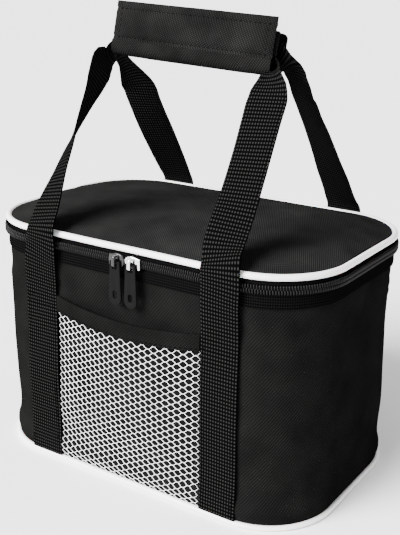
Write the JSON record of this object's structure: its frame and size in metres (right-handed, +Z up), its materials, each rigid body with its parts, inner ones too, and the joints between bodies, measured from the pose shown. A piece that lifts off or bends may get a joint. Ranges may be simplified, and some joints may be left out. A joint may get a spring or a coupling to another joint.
{
  "type": "insulated lunch bag",
  "caption": "Soft insulated lunch bag with rounded corners, a zipped hinged lid, a mesh front pocket and webbing handles held together by a fabric wrap.",
  "frame": {"origin": "middle of the flat underside", "axes": "+Z up, +X to the right of a viewer who faces the pocket, -Y towards that viewer"},
  "size_m": [0.2428, 0.166, 0.2911],
  "materials": {
    "polyester": "black twill polyester with a coated back",
    "webbing": "black ribbed polypropylene webbing",
    "tape": "black woven tape",
    "zip_coil": "black nylon coil",
    "piping": "white vinyl piping",
    "mesh": "white polyester mesh",
    "foam": "pale closed-cell foam",
    "foil": "metallised film",
    "chrome": "bright plate",
    "black_metal": "black enamel",
    "moulding": "black moulded polymer"
  },
  "bodies": {
    "bag_body": {"outer_wall": "polyester", "base_panel": "polyester", "base_piping": "piping", "base_foam": "foam", "wall_foam": "foam", "foil_liner": "foil", "mouth_binding": "tape", "zip_tape_lower": "tape", "zip_coil_lower": "zip_coil", "lid_hinge_strip": "polyester", "pocket_mesh": "mesh", "pocket_binding": "polyester", "front_strap_left_run": "webbing", "front_strap_right_run": "webbing", "rear_strap_left_run": "webbing", "rear_strap_right_run": "webbing"},
    "lid": {"lid_cover": "polyester", "lid_foam": "foam", "lid_liner": "foil", "lid_binding": "tape", "lid_piping": "piping", "zip_tape_upper": "tape", "zip_coil_upper": "zip_coil"},
    "left_slider": {"slider_left": "black_metal"},
    "right_slider": {"slider_right": "chrome"},
    "left_pull": {"pull_tab_left": "moulding"},
    "right_pull": {"pull_tab_right": "moulding"},
    "front_handle": {"front_strap_left_leg": "webbing", "front_strap_right_leg": "webbing", "front_strap_grip": "webbing"},
    "rear_handle": {"rear_strap_left_leg": "webbing", "rear_strap_right_leg": "webbing", "rear_strap_grip": "webbing", "wrap_cover": "polyester", "wrap_loop_tape": "tape"},
    "flap": {"wrap_flap": "polyester", "wrap_hook_tape": "tape"}
  },
  "joints": [
    {"name": "lid_open", "type": "hinge", "parent": "bag_body", "child": "lid", "pos_m": [0, 0.0785, 0.1497], "axis": [-1, 0, 0], "range_deg": [0, 100], "deforming": ["front_strap_grip"]},
    {"name": "front_handle_drop", "type": "hinge", "parent": "bag_body", "child": "front_handle", "pos_m": [0, -0.0797, 0.12], "axis": [1, 0, 0], "range_deg": [0, 150]},
    {"name": "rear_handle_drop", "type": "hinge", "parent": "bag_body", "child": "rear_handle", "pos_m": [0, 0.0797, 0.12], "axis": [-1, 0, 0], "range_deg": [0, 150]},
    {"name": "flap_open", "type": "hinge", "parent": "rear_handle", "child": "flap", "pos_m": [-0.00211, -0.01047, 0.26541], "axis": [0.999, 0, -0.0454], "range_deg": [0, 150]},
    {"name": "left_slider_run", "type": "slide", "parent": "bag_body", "child": "left_slider", "axis": [1, 0, 0], "range_m": [-0.039, 0]},
    {"name": "right_slider_run", "type": "slide", "parent": "bag_body", "child": "right_slider", "axis": [1, 0, 0], "range_m": [0, 0.04]},
    {"name": "left_pull_swing", "type": "hinge", "parent": "left_slider", "child": "left_pull", "pos_m": [-0.00315, -0.0811, 0.14895], "axis": [-1, 0, 0], "range_deg": [0, 110]},
    {"name": "right_pull_swing", "type": "hinge", "parent": "right_slider", "child": "right_pull", "pos_m": [0.00815, -0.0811, 0.14895], "axis": [-1, 0, 0], "range_deg": [0, 110]}
  ],
  "couplings": [
    {"joint": "front_handle_drop", "follows": "lid_open", "ratio": 1.5},
    {"joint": "rear_handle_drop", "follows": "lid_open", "ratio": 1.5}
  ]
}
